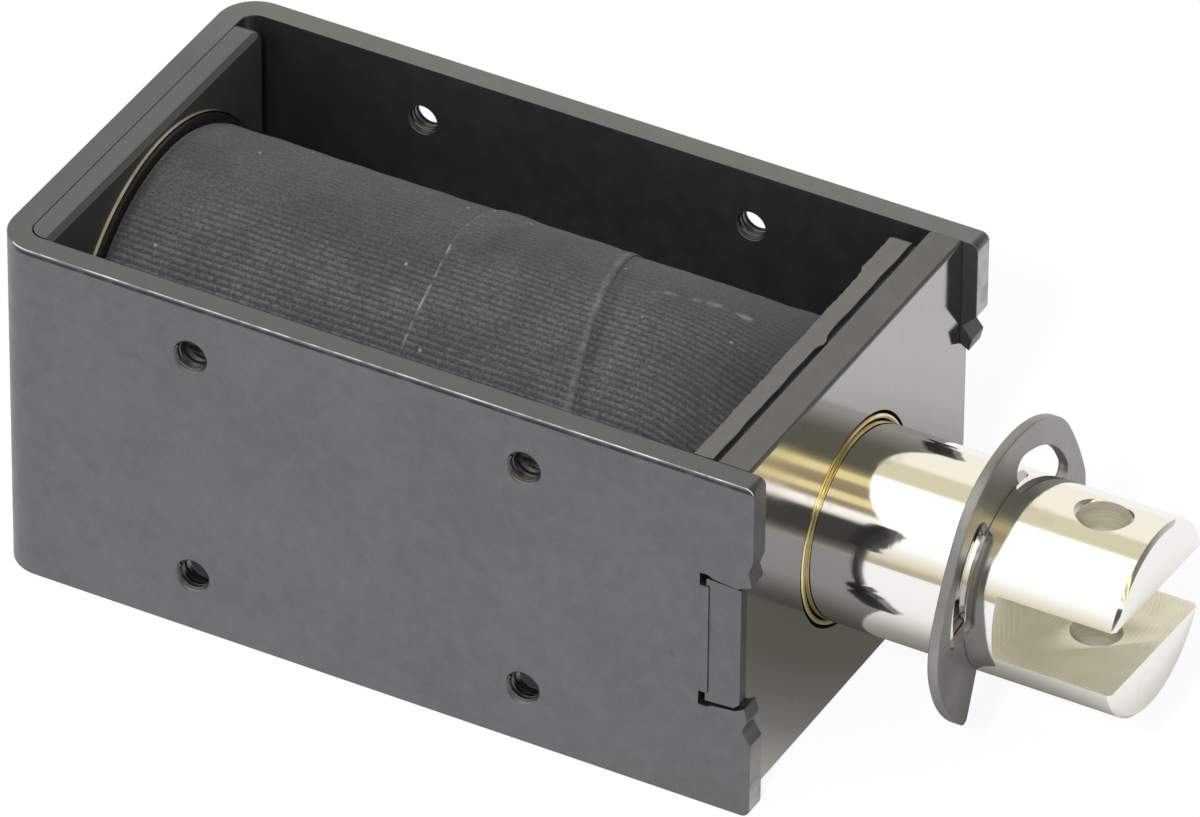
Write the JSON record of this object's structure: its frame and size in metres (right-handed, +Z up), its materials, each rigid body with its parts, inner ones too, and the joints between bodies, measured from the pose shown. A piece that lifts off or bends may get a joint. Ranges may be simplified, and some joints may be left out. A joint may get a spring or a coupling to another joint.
{
  "type": "push pull solenoid",
  "caption": "Open-frame linear solenoid: taped coil in a bent steel frame, sliding plated plunger with a retaining ring and a slotted clevis end.",
  "frame": {"origin": "under the middle of the whole length (frame and extended plunger), on the frame's lower edge", "axes": "+X along the plunger, out of the frame; +Y to the far side wall; +Z up, across the steel strip"},
  "size_m": [0.0882, 0.037, 0.03],
  "materials": {
    "blackened_steel": "satin black plating",
    "end_plate_steel": "brushed nickel plate",
    "plate_steel": "satin black plating",
    "nickel": "bright nickel plate",
    "spring_steel": "phosphated spring steel",
    "brass": "bare brass",
    "core_iron": "turned soft iron",
    "fibre": "varnished fibre",
    "copper": "enamelled copper wire",
    "cloth_tape": "woven black cloth tape"
  },
  "bodies": {
    "frame": {"frame_yoke": "blackened_steel", "end_plate": "end_plate_steel", "front_inner_plate": "plate_steel", "rear_inner_plate": "plate_steel", "stop_core": "core_iron", "bobbin_tube": "brass", "rear_flange": "brass", "front_flange": "brass", "rear_insulating_washer": "fibre", "front_insulating_washer": "fibre", "insulating_sleeve": "fibre", "coil_winding": "copper", "rear_tape_wrap": "cloth_tape", "middle_tape_wrap": "cloth_tape", "front_tape_wrap": "cloth_tape"},
    "ring": {"e_ring": "spring_steel"},
    "plunger": {"plunger": "nickel"}
  },
  "joints": [
    {"name": "plunger_slide", "type": "slide", "parent": "frame", "child": "ring", "axis": [1, 0, 0], "range_m": [-0.01195, 0.004]},
    {"name": "plunger_turn", "type": "hinge", "parent": "ring", "child": "plunger", "pos_m": [0.03168, 0, 0.015], "axis": [1, 0, 0], "continuous": true}
  ]
}
